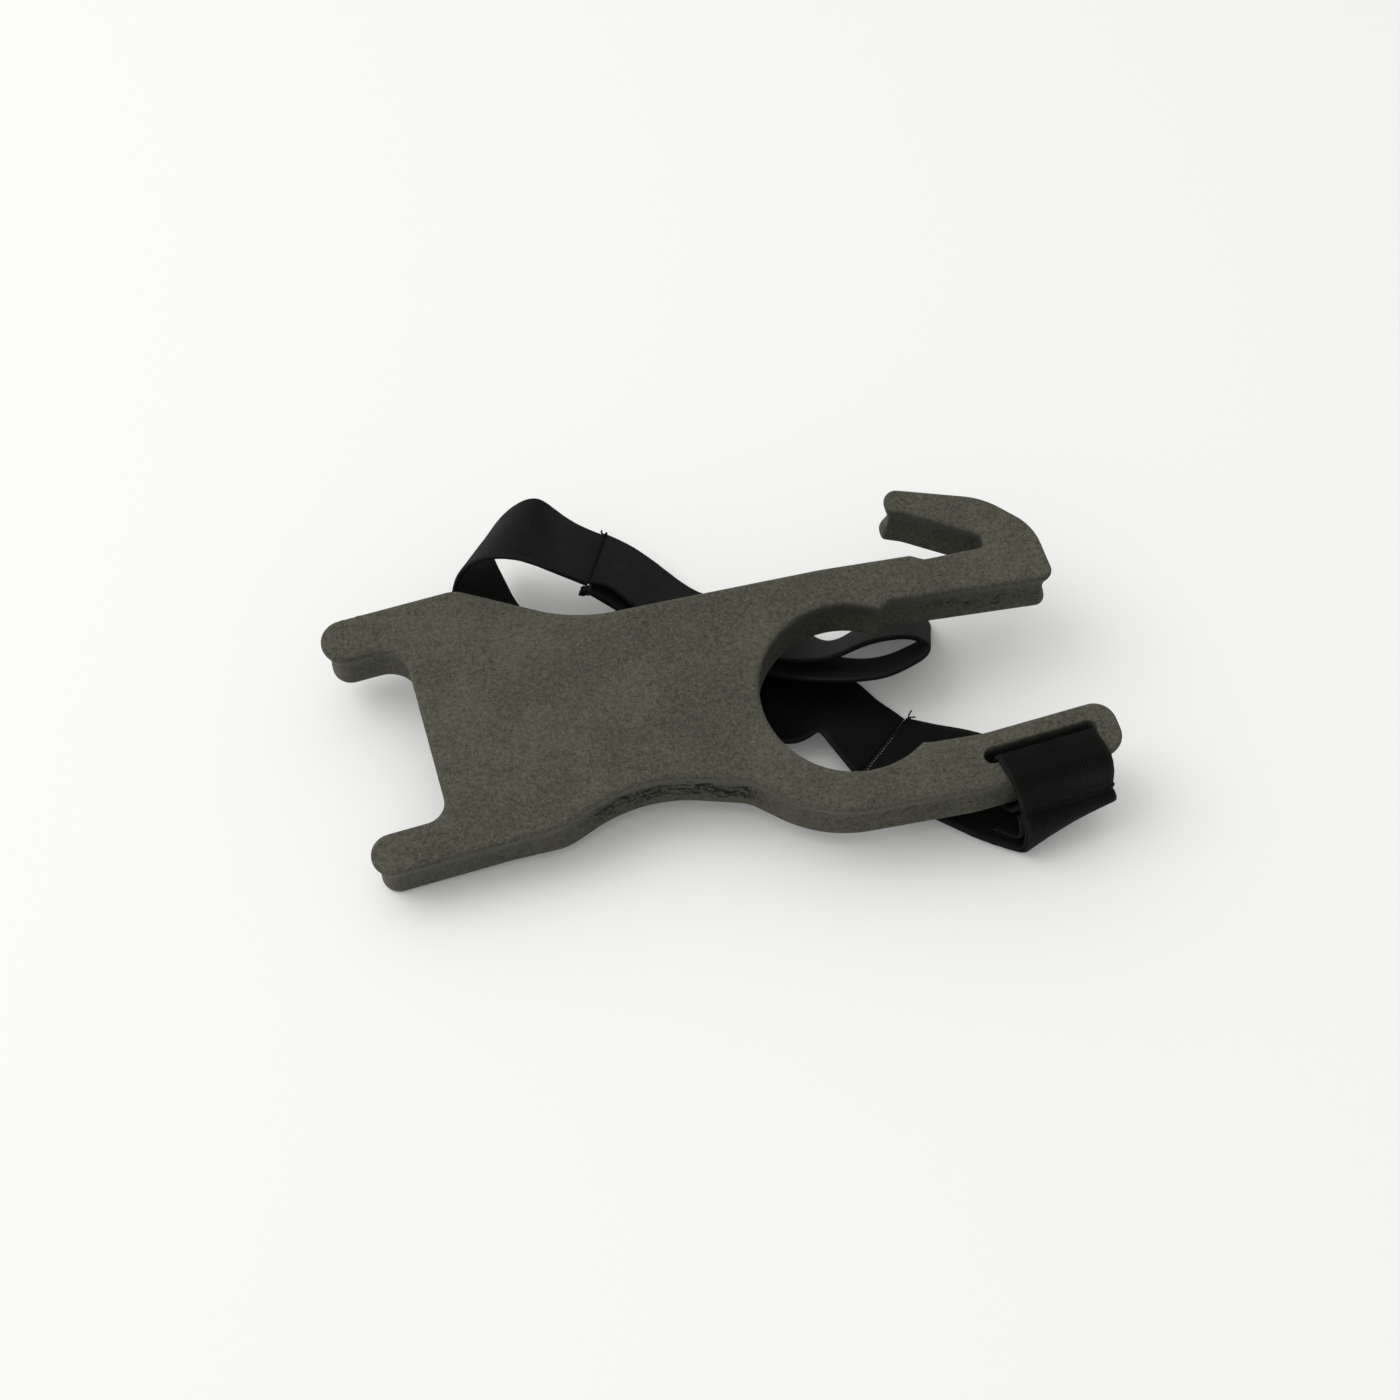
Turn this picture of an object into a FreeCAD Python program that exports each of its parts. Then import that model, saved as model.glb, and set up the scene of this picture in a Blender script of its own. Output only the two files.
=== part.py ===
import FreeCAD, Part
import math
import os

# Die-cut foam plate with a sewn elastic strap. Millimetres, +Z up.
# The plate is drawn flat, with the centre of its round hole at (0, 0) and its
# top face at z = 0. It is then laid on its strap and the whole assembly is
# moved so that the origin is at the centre of the base.

# --- foam plate ---
PLATE_THICKNESS = 15.0
EDGE_ROUND = 0.6
HOLE_RADIUS = 22.0
HOLE_END_UPPER = 52.8
HOLE_END_LOWER = -58.5

PRONG_UPPER_TIP = -119.0
PRONG_UPPER_BACK = 53.0
PRONG_UPPER_FRONT = 41.9
PRONG_UPPER_ROUND = 5.5
PRONG_LOWER_TIP = -119.8
PRONG_LOWER_BACK = -4.5
PRONG_LOWER_FRONT = -14.7
PRONG_LOWER_ROUND = 5.05
NOTCH_BOTTOM = -100.2
NOTCH_UPPER_ROUND = 7.0
NOTCH_LOWER_ROUND = 5.0

ARM_END = 57.6
ARM_FRONT = -34.4
ARM_INNER = -20.8
ARM_TIP_ROUND = 5.4

SLOT_LEFT = 23.9
SLOT_RIGHT = 52.3
SLOT_FRONT = -28.9
SLOT_BACK = -25.1

# --- resting attitude of the plate ---
TILT_LENGTH = 5.3
TILT_CROSS = 8.8
PLATE_LIFT = 27.57

# --- elastic strap ---
STRAP_WIDTH = 25.0
STRAP_THICKNESS = 1.25
DOUBLED_THICKNESS = 2.5
SECTIONS_PER_SPAN = 3

# --- sewing thread ---
THREAD_RADIUS = 0.25
SEAM_LENGTH = 24.0
SEAM_INSET = 2.4
SEAM_CLEARANCE = 0.25

# --- whole assembly: from the plate's hole to the centre of the base ---
BASE_SHIFT = FreeCAD.Vector(29.91, -17.64, 0.0)

# Plate outline, counted from the upper prong along the back edge:
# x, y and corner radius.
BACK_EDGE = [
    (PRONG_UPPER_TIP, PRONG_UPPER_FRONT, PRONG_UPPER_ROUND),
    (PRONG_UPPER_TIP, PRONG_UPPER_BACK, PRONG_UPPER_ROUND),
    (-84.5, PRONG_UPPER_BACK, 8.0),
    (-58.5, 36.8, 40.0),
    (3.0, 32.3, 60.0),
    (25.4, 29.6, 1.5),
    (28.4, 27.6, 1.5),
]
HOOK = [
    (44.0, 26.5, 1.5),
    (44.2, 29.7, 1.5),
    (28.5, 41.0, 12.0),
    (24.0, 43.2, 1.3),
    (24.4, 49.9, 3.2),
    (48.2, 39.85, 20.0),
    (ARM_END, 28.7, 14.0),
    (ARM_END, 13.5, 2.6),
    (16.4, 19.1, 1.0),
]
SLOTTED_ARM = [
    (13.6, -19.3, 2.0),
    (26.0, ARM_INNER, 30.0),
    (ARM_END, ARM_INNER, ARM_TIP_ROUND),
    (ARM_END, ARM_FRONT, ARM_TIP_ROUND),
    (21.0, ARM_FRONT, 60.0),
    (-16.5, -30.3, 33.0),
]
FRONT_EDGE = [
    (-30.4, -16.4, 10.0),
    (-54.4, -7.3, 38.0),
    (-75.5, PRONG_LOWER_FRONT, 14.0),
    (PRONG_LOWER_TIP, PRONG_LOWER_FRONT, PRONG_LOWER_ROUND),
    (PRONG_LOWER_TIP, PRONG_LOWER_BACK, PRONG_LOWER_ROUND),
    (NOTCH_BOTTOM, PRONG_LOWER_BACK, NOTCH_LOWER_ROUND),
    (NOTCH_BOTTOM, PRONG_UPPER_FRONT, NOTCH_UPPER_ROUND),
]

# Strap stations: near selvage and far selvage. The anchor loop is drawn on
# the flat plate, the other runs on the floor the assembly rests on.
ANCHOR_STATIONS = [
    ((29.4, -39.7, -6.7), (53.2, -38.5, -10.1)),
    ((28.9, -38.2, -3.4), (52.9, -37.6, -5.4)),
    ((28.1, -36.6, -0.7), (52.5, -36.6, -1.4)),
    ((27.4, -34.6, 0.85), (52.2, -34.7, 0.8)),
    ((26.8, -31.8, 1.0), (51.8, -31.8, 1.0)),
    ((26.4, -29.6, 1.0), (51.4, -29.6, 1.0)),
    ((26.3, -28.3, 0.5), (51.3, -28.3, 0.5)),
    ((26.2, -27.7, -0.9), (51.2, -27.7, -0.9)),
    ((26.2, -27.6, -3.5), (51.2, -27.6, -3.5)),
    ((26.2, -27.6, -11.5), (51.2, -27.6, -11.5)),
    ((26.3, -27.7, -14.1), (51.3, -27.7, -14.1)),
    ((26.4, -28.3, -15.5), (51.4, -28.3, -15.5)),
    ((26.5, -29.6, -16.0), (51.5, -29.6, -16.0)),
    ((27.0, -31.8, -16.1), (52.0, -31.8, -16.1)),
    ((27.8, -34.8, -15.8), (52.8, -34.8, -16.1)),
    ((28.7, -36.9, -13.0), (52.9, -36.3, -14.4)),
    ((29.3, -38.3, -7.3), (53.1, -37.1, -10.7)),
]
DOUBLED_STATIONS = [
    ((30.7, -39.2, 15.2), (53.9, -37.4, 14.2)),
    ((31.2, -40.7, 13.6), (54.6, -38.1, 12.8)),
    ((31.5, -41.9, 10.4), (55.2, -37.8, 10.9)),
    ((31.6, -42.4, 6.8), (55.1, -35.9, 9.1)),
    ((31.2, -41.9, 3.3), (54.0, -32.0, 8.3)),
    ((28.6, -40.3, 1.8), (49.5, -25.8, 8.9)),
    ((22.5, -34.8, 2.0), (40.5, -18.5, 9.2)),
    ((15.0, -28.0, 3.0), (32.8, -10.9, 8.6)),
    ((6.5, -20.5, 5.0), (24.8, -4.5, 5.6)),
    ((-0.7, -13.6, 6.8), (18.3, 2.0, 2.4)),
]
SINGLE_STATIONS = [
    ((-1.0, -13.2, 6.9), (18.0, 2.5, 2.3)),
    ((-4.2, -6.5, 9.3), (15.8, 7.2, 1.5)),
    ((-6.5, -0.6, 10.8), (12.9, 12.3, 1.2)),
    ((-8.2, -0.4, 9.2), (10.2, 20.2, 1.0)),
    ((-12.2, -1.8, 7.6), (0.0, 25.0, 0.9)),
    ((-20.0, 1.2, 7.0), (-11.4, 30.0, 0.9)),
    ((-36.4, 13.4, 8.6), (-27.0, 36.0, 0.9)),
    ((-56.0, 24.5, 8.0), (-45.0, 45.5, 0.9)),
    ((-71.5, 34.8, 7.8), (-60.0, 55.6, 1.2)),
    ((-79.5, 45.5, 8.6), (-66.3, 64.4, 1.6)),
    ((-82.4, 53.4, 9.7), (-68.4, 71.0, 4.2)),
    ((-83.3, 58.5, 14.2), (-70.2, 75.4, 8.4)),
    ((-82.7, 59.6, 20.6), (-70.0, 77.6, 13.2)),
    ((-80.3, 58.7, 28.0), (-68.2, 77.0, 19.0)),
    ((-76.6, 56.6, 32.9), (-65.0, 76.6, 24.0)),
    ((-72.0, 54.4, 35.0), (-61.0, 75.8, 28.2)),
    ((-67.4, 52.4, 35.0), (-57.8, 74.6, 29.6)),
    ((-61.6, 49.7, 33.0), (-54.4, 72.4, 27.6)),
    ((-57.0, 48.6, 29.7), (-49.4, 70.6, 22.2)),
    ((-52.0, 47.9, 25.3), (-41.4, 69.0, 16.2)),
]
HOOK_LOOP_STATIONS = [
    ((-51.4, 48.1, 25.6), (-40.7, 69.1, 16.4)),
    ((-45.5, 49.3, 20.2), (-34.7, 68.3, 10.4)),
    ((-39.4, 46.2, 14.6), (-28.8, 63.9, 5.6)),
    ((-31.5, 38.4, 12.6), (-20.0, 55.4, 1.5)),
    ((-21.0, 30.0, 12.2), (-8.4, 49.6, 1.5)),
    ((-11.8, 22.6, 12.6), (0.6, 42.4, 1.4)),
    ((-5.4, 17.6, 15.8), (4.2, 34.4, 1.4)),
    ((0.8, 14.6, 18.8), (8.6, 31.0, 1.4)),
    ((6.0, 15.6, 18.6), (14.0, 31.8, 1.6)),
    ((12.2, 17.6, 17.2), (20.8, 34.2, 2.0)),
    ((19.0, 18.6, 15.8), (27.6, 34.6, 2.0)),
    ((24.2, 17.0, 15.9), (32.8, 32.8, 2.0)),
    ((26.4, 13.4, 16.7), (34.8, 28.8, 2.0)),
    ((24.4, 9.9, 18.0), (32.4, 25.4, 1.8)),
    ((19.6, 7.6, 18.6), (27.2, 23.6, 1.5)),
    ((13.5, 6.2, 18.6), (21.0, 22.6, 1.4)),
    ((4.7, 7.1, 18.2), (12.2, 24.0, 1.4)),
    ((-6.8, 12.9, 15.2), (2.0, 31.0, 1.4)),
    ((-18.0, 22.0, 11.8), (-7.4, 42.2, 1.4)),
    ((-29.5, 32.2, 11.6), (-17.6, 51.6, 1.4)),
    ((-38.8, 40.6, 12.6), (-27.0, 60.4, 2.4)),
    ((-45.4, 45.2, 16.6), (-34.2, 65.6, 6.6)),
    ((-52.2, 46.9, 23.6), (-41.6, 67.8, 14.6)),
]


def vec(point):
    return FreeCAD.Vector(*point)


def corner_cut(before, corner, after):
    """Fillet arc at one outline corner: its start, middle and end."""
    here = vec((corner[0], corner[1], 0.0))
    back = (vec((before[0], before[1], 0.0)) - here).normalize()
    ahead = (vec((after[0], after[1], 0.0)) - here).normalize()
    radius = corner[2]
    half = back.getAngle(ahead) / 2.0
    reach = radius / math.tan(half)
    bisector = (back + ahead).normalize()
    centre = here + bisector * (radius / math.sin(half))
    middle = centre - bisector * radius
    return here + back * reach, middle, here + ahead * reach


def add_corners(edges, start, corners, end):
    """Lines and fillet arcs from start through the corners to end."""
    chain = [(start.x, start.y)] + corners + [(end.x, end.y)]
    cursor = start
    for index in range(1, len(chain) - 1):
        first, middle, last = corner_cut(chain[index - 1], chain[index], chain[index + 1])
        if cursor.distanceToPoint(first) > 1e-6:
            edges.append(Part.makeLine(cursor, first))
        edges.append(Part.Arc(first, middle, last).toShape())
        cursor = last
    edges.append(Part.makeLine(cursor, end))


def on_hole(angle_deg):
    angle = math.radians(angle_deg)
    return FreeCAD.Vector(HOLE_RADIUS * math.cos(angle), HOLE_RADIUS * math.sin(angle), 0.0)


def plate_outline():
    upper_end = on_hole(HOLE_END_UPPER)
    lower_end = on_hole(HOLE_END_LOWER)
    edges = []
    outer = SLOTTED_ARM + FRONT_EDGE + BACK_EDGE + HOOK
    add_corners(edges, lower_end, outer, upper_end)
    edges.append(Part.Arc(upper_end, on_hole(180.0), lower_end).toShape())
    return Part.Wire(Part.__sortEdges__(edges))


def slot_cutter():
    width = SLOT_BACK - SLOT_FRONT
    radius = width / 2.0
    left = FreeCAD.Vector(SLOT_LEFT + radius, SLOT_FRONT + radius, -PLATE_THICKNESS - 1.0)
    right = FreeCAD.Vector(SLOT_RIGHT - radius, left.y, left.z)
    depth = PLATE_THICKNESS + 2.0
    box = Part.makeBox(right.x - left.x, width, depth, FreeCAD.Vector(left.x, SLOT_FRONT, left.z))
    ends = [Part.makeCylinder(radius, depth, centre) for centre in (left, right)]
    return box.fuse(ends)


def rest_on_strap(shape):
    """Tilt the flat plate frame into its resting attitude on the floor."""
    shape.rotate(FreeCAD.Vector(), FreeCAD.Vector(0, 1, 0), -TILT_LENGTH)
    shape.rotate(FreeCAD.Vector(), FreeCAD.Vector(1, 0, 0), TILT_CROSS)
    shape.translate(FreeCAD.Vector(0, 0, PLATE_LIFT))
    return shape


def foam_plate():
    face = Part.Face(plate_outline())
    solid = face.extrude(FreeCAD.Vector(0, 0, -PLATE_THICKNESS))
    rims = [edge for edge in solid.Edges if abs(edge.BoundBox.ZLength) < 1e-6]
    solid = solid.makeFillet(EDGE_ROUND, rims)
    return rest_on_strap(solid.cut(slot_cutter()))


def section(near, far, tangent, thickness):
    """Webbing cross-section: a rectangle set across the strap."""
    centre = (near + far) * 0.5
    across = (far - near).normalize()
    side = across * (STRAP_WIDTH / 2.0)
    lift = tangent.cross(across).normalize() * (thickness / 2.0)
    corners = [centre - side - lift, centre + side - lift, centre + side + lift, centre - side + lift]
    return Part.makePolygon(corners + corners[:1])


def ribbon(stations, thickness):
    """Flat webbing lofted along its two selvages."""
    near = [vec(station[0]) for station in stations]
    far = [vec(station[1]) for station in stations]
    middles = [(a + b) * 0.5 for a, b in zip(near, far)]
    knots = [0.0]
    for first, second in zip(middles, middles[1:]):
        knots.append(knots[-1] + first.distanceToPoint(second))
    curves = []
    for points in (near, middles, far):
        curve = Part.BSplineCurve()
        curve.interpolate(Points=points, Parameters=knots)
        curves.append(curve)
    sections = []
    for first, second in zip(knots, knots[1:]):
        for step in range(SECTIONS_PER_SPAN):
            sections.append(first + (second - first) * step / SECTIONS_PER_SPAN)
    sections.append(knots[-1])
    wires = []
    for knot in sections:
        tangent = curves[1].tangent(knot)[0]
        wires.append(section(curves[0].value(knot), curves[2].value(knot), tangent, thickness))
    return Part.makeLoft(wires, True, False)


def seam_thread(near, far, facing, ply):
    """Sewing thread lying across the webbing, on the face named by facing."""
    across = (vec(far) - vec(near)).normalize()
    outward = vec(facing)
    outward = (outward - across * outward.dot(across)).normalize()
    rise = ply / 2.0 + THREAD_RADIUS + SEAM_CLEARANCE
    middle = (vec(near) + vec(far)) * 0.5 + outward * rise
    start = middle - across * (SEAM_LENGTH / 2.0)
    return Part.makeCylinder(THREAD_RADIUS, SEAM_LENGTH, start, across)


def sub_parts():
    anchor_end = [vec(point) + FreeCAD.Vector(0, 0, SEAM_INSET) for point in ANCHOR_STATIONS[0]]
    middle_end = DOUBLED_STATIONS[-1]
    hook_end = SINGLE_STATIONS[-1]
    anchor_seam = seam_thread(anchor_end[0], anchor_end[1], (0, -1, -0.3), STRAP_THICKNESS)
    return {
        "foam_plate": foam_plate(),
        "strap_anchor_loop": rest_on_strap(ribbon(ANCHOR_STATIONS, STRAP_THICKNESS)),
        "strap_doubled_run": ribbon(DOUBLED_STATIONS, DOUBLED_THICKNESS),
        "strap_single_run": ribbon(SINGLE_STATIONS, STRAP_THICKNESS),
        "strap_hook_loop": ribbon(HOOK_LOOP_STATIONS, STRAP_THICKNESS),
        "anchor_seam_stitches": rest_on_strap(anchor_seam),
        "middle_seam_stitches": seam_thread(middle_end[0], middle_end[1], (0, 0, 1), DOUBLED_THICKNESS),
        "hook_loop_seam_stitches": seam_thread(hook_end[0], hook_end[1], (0, 0, 1), STRAP_THICKNESS),
    }


def main():
    os.makedirs("parts", exist_ok=True)
    for name, shape in sub_parts().items():
        shape.translate(BASE_SHIFT)
        shape.exportStep("parts/" + name + ".step")


main()
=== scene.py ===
import math
import random

import bmesh
import bpy
import numpy as np
from mathutils import Matrix, Vector, noise
from mathutils.geometry import delaunay_2d_cdt


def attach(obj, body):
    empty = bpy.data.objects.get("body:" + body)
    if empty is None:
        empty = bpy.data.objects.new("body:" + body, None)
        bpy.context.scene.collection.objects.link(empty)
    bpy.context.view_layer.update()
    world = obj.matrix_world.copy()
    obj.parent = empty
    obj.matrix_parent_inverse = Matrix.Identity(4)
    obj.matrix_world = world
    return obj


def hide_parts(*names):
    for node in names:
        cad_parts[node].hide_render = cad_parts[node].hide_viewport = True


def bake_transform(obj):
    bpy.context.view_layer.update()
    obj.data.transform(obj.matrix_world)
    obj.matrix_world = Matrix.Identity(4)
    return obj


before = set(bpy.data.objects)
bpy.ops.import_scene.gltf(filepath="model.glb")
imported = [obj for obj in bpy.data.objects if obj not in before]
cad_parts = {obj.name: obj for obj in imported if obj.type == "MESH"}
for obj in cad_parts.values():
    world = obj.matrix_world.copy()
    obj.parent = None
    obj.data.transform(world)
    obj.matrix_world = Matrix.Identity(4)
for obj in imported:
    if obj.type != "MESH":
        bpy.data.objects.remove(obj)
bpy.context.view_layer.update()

random.seed(7)
MM = 0.001

# Camera
CAMERA_PLACE = (-0.10411, -0.2655, 0.41521)
CAMERA_TURN = (34.9708, -2.4396, -17.6209)
CAMERA_LENS = 51.43
CAMERA_SENSOR = 36.0

# Foam plate, in millimetres on the flat sheet
PLATE_THICKNESS = 15.0
HOLE_RADIUS = 22.0
HOLE_END_UPPER = 52.8
HOLE_END_LOWER = 301.5
PRONG_UPPER_TIP = -119.0
PRONG_UPPER_BACK = 53.0
PRONG_UPPER_FRONT = 41.9
PRONG_UPPER_ROUND = 5.5
PRONG_LOWER_TIP = -119.8
PRONG_LOWER_BACK = -4.5
PRONG_LOWER_FRONT = -14.7
PRONG_LOWER_ROUND = 5.05
NOTCH_BOTTOM = -100.2
NOTCH_UPPER_ROUND = 7.0
NOTCH_LOWER_ROUND = 5.0
ARM_END = 57.6
ARM_FRONT = -34.4
ARM_INNER = -20.8
ARM_TIP_ROUND = 5.4
SLOT_LEFT = 23.9
SLOT_RIGHT = 52.3
SLOT_FRONT = -28.9
SLOT_BACK = -25.1
TILT_LENGTH = 5.3
TILT_CROSS = 8.8
PLATE_LIFT = 27.57
BASE_SHIFT = Vector((29.91, -17.64, 0.0))

# Webbing, in millimetres
STRAP_WIDTH = 25.0
STRAP_THICKNESS = 1.25
PLY_OFFSET = 0.66
UNDERSIDE_OFFSET = 40.0
SEAM_INSET = 2.4

# Plate outline corners: x, y and corner radius
BACK_EDGE = [
    (PRONG_UPPER_TIP, PRONG_UPPER_FRONT, PRONG_UPPER_ROUND),
    (PRONG_UPPER_TIP, PRONG_UPPER_BACK, PRONG_UPPER_ROUND),
    (-84.5, PRONG_UPPER_BACK, 8.0),
    (-58.5, 36.8, 40.0),
    (3.0, 32.3, 60.0),
    (25.4, 29.6, 1.5),
    (28.4, 27.6, 1.5),
]
HOOK = [
    (44.0, 26.5, 1.5),
    (44.2, 29.7, 1.5),
    (28.5, 41.0, 12.0),
    (24.0, 43.2, 1.3),
    (24.4, 49.9, 3.2),
    (48.2, 39.85, 20.0),
    (ARM_END, 28.7, 14.0),
    (ARM_END, 13.5, 2.6),
    (16.4, 19.1, 1.0),
]
SLOTTED_ARM = [
    (13.6, -19.3, 2.0),
    (26.0, ARM_INNER, 30.0),
    (ARM_END, ARM_INNER, ARM_TIP_ROUND),
    (ARM_END, ARM_FRONT, ARM_TIP_ROUND),
    (21.0, ARM_FRONT, 60.0),
    (-16.5, -30.3, 33.0),
]
FRONT_EDGE = [
    (-30.4, -16.4, 10.0),
    (-54.4, -7.3, 38.0),
    (-75.5, PRONG_LOWER_FRONT, 14.0),
    (PRONG_LOWER_TIP, PRONG_LOWER_FRONT, PRONG_LOWER_ROUND),
    (PRONG_LOWER_TIP, PRONG_LOWER_BACK, PRONG_LOWER_ROUND),
    (NOTCH_BOTTOM, PRONG_LOWER_BACK, NOTCH_LOWER_ROUND),
    (NOTCH_BOTTOM, PRONG_UPPER_FRONT, NOTCH_UPPER_ROUND),
]

# Strap stations: near selvage and far selvage. The anchor loop is drawn on
# the flat plate, the other runs on the floor.
ANCHOR_STATIONS = [
    ((29.4, -39.7, -6.7), (53.2, -38.5, -10.1)),
    ((28.9, -38.2, -3.4), (52.9, -37.6, -5.4)),
    ((28.1, -36.6, -0.7), (52.5, -36.6, -1.4)),
    ((27.4, -34.6, 0.85), (52.2, -34.7, 0.8)),
    ((26.8, -31.8, 1.0), (51.8, -31.8, 1.0)),
    ((26.4, -29.6, 1.0), (51.4, -29.6, 1.0)),
    ((26.3, -28.3, 0.5), (51.3, -28.3, 0.5)),
    ((26.2, -27.7, -0.9), (51.2, -27.7, -0.9)),
    ((26.2, -27.6, -3.5), (51.2, -27.6, -3.5)),
    ((26.2, -27.6, -11.5), (51.2, -27.6, -11.5)),
    ((26.3, -27.7, -14.1), (51.3, -27.7, -14.1)),
    ((26.4, -28.3, -15.5), (51.4, -28.3, -15.5)),
    ((26.5, -29.6, -16.0), (51.5, -29.6, -16.0)),
    ((27.0, -31.8, -16.1), (52.0, -31.8, -16.1)),
    ((27.8, -34.8, -15.8), (52.8, -34.8, -16.1)),
    ((28.7, -36.9, -13.0), (52.9, -36.3, -14.4)),
    ((29.3, -38.3, -7.3), (53.1, -37.1, -10.7)),
]
DOUBLED_STATIONS = [
    ((30.7, -39.2, 15.2), (53.9, -37.4, 14.2)),
    ((31.2, -40.7, 13.6), (54.6, -38.1, 12.8)),
    ((31.5, -41.9, 10.4), (55.2, -37.8, 10.9)),
    ((31.6, -42.4, 6.8), (55.1, -35.9, 9.1)),
    ((31.2, -41.9, 3.3), (54.0, -32.0, 8.3)),
    ((28.6, -40.3, 1.8), (49.5, -25.8, 8.9)),
    ((22.5, -34.8, 2.0), (40.5, -18.5, 9.2)),
    ((15.0, -28.0, 3.0), (32.8, -10.9, 8.6)),
    ((6.5, -20.5, 5.0), (24.8, -4.5, 5.6)),
    ((-0.7, -13.6, 6.8), (18.3, 2.0, 2.4)),
]
SINGLE_STATIONS = [
    ((-1.0, -13.2, 6.9), (18.0, 2.5, 2.3)),
    ((-4.2, -6.5, 9.3), (15.8, 7.2, 1.5)),
    ((-6.5, -0.6, 10.8), (12.9, 12.3, 1.2)),
    ((-8.2, -0.4, 9.2), (10.2, 20.2, 1.0)),
    ((-12.2, -1.8, 7.6), (0.0, 25.0, 0.9)),
    ((-20.0, 1.2, 7.0), (-11.4, 30.0, 0.9)),
    ((-36.4, 13.4, 8.6), (-27.0, 36.0, 0.9)),
    ((-56.0, 24.5, 8.0), (-45.0, 45.5, 0.9)),
    ((-71.5, 34.8, 7.8), (-60.0, 55.6, 1.2)),
    ((-79.5, 45.5, 8.6), (-66.3, 64.4, 1.6)),
    ((-82.4, 53.4, 9.7), (-68.4, 71.0, 4.2)),
    ((-83.3, 58.5, 14.2), (-70.2, 75.4, 8.4)),
    ((-82.7, 59.6, 20.6), (-70.0, 77.6, 13.2)),
    ((-80.3, 58.7, 28.0), (-68.2, 77.0, 19.0)),
    ((-76.6, 56.6, 32.9), (-65.0, 76.6, 24.0)),
    ((-72.0, 54.4, 35.0), (-61.0, 75.8, 28.2)),
    ((-67.4, 52.4, 35.0), (-57.8, 74.6, 29.6)),
    ((-61.6, 49.7, 33.0), (-54.4, 72.4, 27.6)),
    ((-57.0, 48.6, 29.7), (-49.4, 70.6, 22.2)),
    ((-52.0, 47.9, 25.3), (-41.4, 69.0, 16.2)),
]
HOOK_LOOP_STATIONS = [
    ((-51.4, 48.1, 25.6), (-40.7, 69.1, 16.4)),
    ((-45.5, 49.3, 20.2), (-34.7, 68.3, 10.4)),
    ((-39.4, 46.2, 14.6), (-28.8, 63.9, 5.6)),
    ((-31.5, 38.4, 12.6), (-20.0, 55.4, 1.5)),
    ((-21.0, 30.0, 12.2), (-8.4, 49.6, 1.5)),
    ((-11.8, 22.6, 12.6), (0.6, 42.4, 1.4)),
    ((-5.4, 17.6, 15.8), (4.2, 34.4, 1.4)),
    ((0.8, 14.6, 18.8), (8.6, 31.0, 1.4)),
    ((6.0, 15.6, 18.6), (14.0, 31.8, 1.6)),
    ((12.2, 17.6, 17.2), (20.8, 34.2, 2.0)),
    ((19.0, 18.6, 15.8), (27.6, 34.6, 2.0)),
    ((24.2, 17.0, 15.9), (32.8, 32.8, 2.0)),
    ((26.4, 13.4, 16.7), (34.8, 28.8, 2.0)),
    ((24.4, 9.9, 18.0), (32.4, 25.4, 1.8)),
    ((19.6, 7.6, 18.6), (27.2, 23.6, 1.5)),
    ((13.5, 6.2, 18.6), (21.0, 22.6, 1.4)),
    ((4.7, 7.1, 18.2), (12.2, 24.0, 1.4)),
    ((-6.8, 12.9, 15.2), (2.0, 31.0, 1.4)),
    ((-18.0, 22.0, 11.8), (-7.4, 42.2, 1.4)),
    ((-29.5, 32.2, 11.6), (-17.6, 51.6, 1.4)),
    ((-38.8, 40.6, 12.6), (-27.0, 60.4, 2.4)),
    ((-45.4, 45.2, 16.6), (-34.2, 65.6, 6.6)),
    ((-52.2, 46.9, 23.6), (-41.6, 67.8, 14.6)),
]


# Cut wall of the foam: inset from the outline and depth below the top face
WALL_PROFILE = [
    (1.5, 0.0), (1.05, -0.03), (0.68, -0.11), (0.38, -0.26), (0.17, -0.48), (0.05, -0.78),
    (0.0, -1.15),
    (0.03, -1.6), (0.14, -2.2), (0.33, -2.9), (0.58, -3.6), (0.84, -4.3), (1.06, -5.1), (1.22, -5.9),
    (1.3, -6.7), (1.32, -7.5), (1.3, -8.3), (1.25, -9.1), (1.17, -9.9), (1.08, -10.7),
    (0.98, -11.5), (0.88, -12.3), (0.8, -13.1), (0.76, -13.7), (0.78, -14.2), (0.9, -14.6),
    (1.12, -14.87), (1.45, -15.0), (1.9, -15.0),
]
SLOT_PROFILE = [
    (0.45, 0.0), (0.12, -0.12), (0.0, -0.5), (-0.1, -3.0), (-0.2, -7.5), (-0.1, -12.0),
    (0.0, -14.5), (0.12, -14.88), (0.45, -15.0),
]
OUTLINE_STEP = 0.6
SEAM_LINE = ((29.4, -39.0, -7.0), (53.2, -37.8, -10.4))


def plate_matrix():
    lift = Matrix.Translation(BASE_SHIFT + Vector((0.0, 0.0, PLATE_LIFT)))
    cross = Matrix.Rotation(math.radians(TILT_CROSS), 4, "X")
    along = Matrix.Rotation(math.radians(-TILT_LENGTH), 4, "Y")
    return lift @ cross @ along


def from_plate(point):
    return (plate_matrix() @ Vector(point)) * MM


def from_floor(point):
    return (Vector(point) + BASE_SHIFT) * MM


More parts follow.
